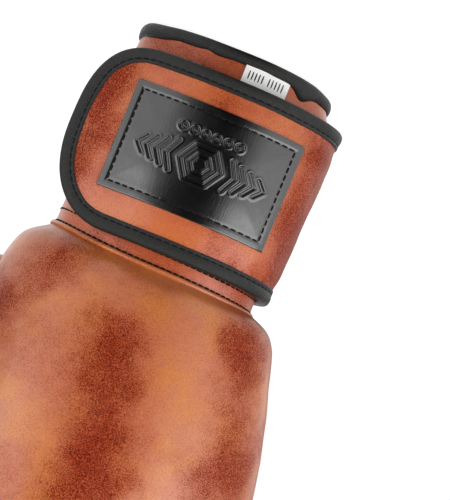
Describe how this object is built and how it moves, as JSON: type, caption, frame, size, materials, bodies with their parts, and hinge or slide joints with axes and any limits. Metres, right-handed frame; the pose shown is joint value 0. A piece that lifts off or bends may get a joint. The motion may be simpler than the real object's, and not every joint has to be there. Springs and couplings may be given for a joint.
{
  "type": "boxing glove",
  "caption": "Left-hand padded boxing glove with a stiff cuff, a closed fist, an attached thumb and a wrap-round hook-and-loop wrist strap.",
  "frame": {"origin": "centre of the cuff's rim, on the plane the glove stands on", "axes": "+Z from the cuff rim to the knuckles, -Y out of the back of the hand, +Y out of the palm, +X towards the thumb"},
  "size_m": [0.1678, 0.1034, 0.28],
  "materials": {
    "leather": "waxed, semi-gloss, with darker worn blotches",
    "black_leather": "smooth, glossy",
    "black_binding": "coated tape, slight sheen",
    "thread": "twisted thread, matt",
    "foam": "closed-cell foam, matt",
    "lining": "woven nylon, matt",
    "elastic": "ribbed elastic, matt",
    "loop_tape": "looped pile, matt",
    "hook_tape": "fine hooks, matt",
    "label_cloth": "woven satin"
  },
  "bodies": {
    "cuff": {"cuff_shell": "leather", "cuff_foam": "foam", "cuff_lining": "lining", "slit_gusset": "elastic", "cuff_binding": "black_binding", "loop_panel": "loop_tape", "size_label": "label_cloth", "wrist_welt": "leather", "wrist_stitches": "thread", "strap_anchor": "leather", "anchor_stitches": "thread"},
    "fist": {"back_panel": "leather", "palm_panel": "leather", "outer_foam": "foam", "middle_foam": "foam", "inner_foam": "foam", "palm_foam": "foam", "hand_lining": "lining", "grip_bar": "lining", "palm_welt": "leather"},
    "thumb": {"thumb_outer_panel": "leather", "thumb_inner_panel": "leather", "thumb_foam": "foam", "thumb_lining": "lining", "thumb_tie": "leather"},
    "strap_palm": {"strap_shell_palm": "leather", "strap_pad_palm": "foam", "strap_lining_palm": "lining", "strap_binding_palm": "black_binding"},
    "strap_side": {"strap_shell_side": "leather", "strap_pad_side": "foam", "strap_lining_side": "lining", "strap_binding_side": "black_binding"},
    "strap_front": {"strap_shell_front": "leather", "strap_pad_front": "foam", "strap_lining_front": "lining", "strap_binding_front": "black_binding", "hook_panel": "hook_tape", "leather_patch": "black_leather", "patch_stitches": "thread", "strap_stitches": "thread"}
  },
  "joints": [
    {"name": "wrist_flex", "type": "hinge", "parent": "cuff", "child": "fist", "pos_m": [0, 0, 0.098], "axis": [-1, 0, 0], "range_deg": [-5, 12], "stiffness_Nm_per_rad": 1},
    {"name": "thumb_spread", "type": "hinge", "parent": "fist", "child": "thumb", "pos_m": [0.063, 0.015, 0.13], "axis": [0, 1, 0], "range_deg": [0, 5], "stiffness_Nm_per_rad": 0.2},
    {"name": "strap_open", "type": "hinge", "parent": "cuff", "child": "strap_palm", "pos_m": [0.02312, 0.03935, 0.0535], "axis": [0, 0, -1], "range_deg": [0, 30]},
    {"name": "strap_open_side", "type": "hinge", "parent": "strap_palm", "child": "strap_side", "pos_m": [-0.04046, 0.02962, 0.0535], "axis": [0, 0, -1], "range_deg": [0, 50]},
    {"name": "strap_open_front", "type": "hinge", "parent": "strap_side", "child": "strap_front", "pos_m": [-0.04459, -0.02513, 0.0535], "axis": [0, 0, -1], "range_deg": [0, 60]}
  ],
  "couplings": [
    {"joint": "strap_open_side", "follows": "strap_open", "ratio": 1.6666},
    {"joint": "strap_open_front", "follows": "strap_open", "ratio": 1.9999}
  ]
}
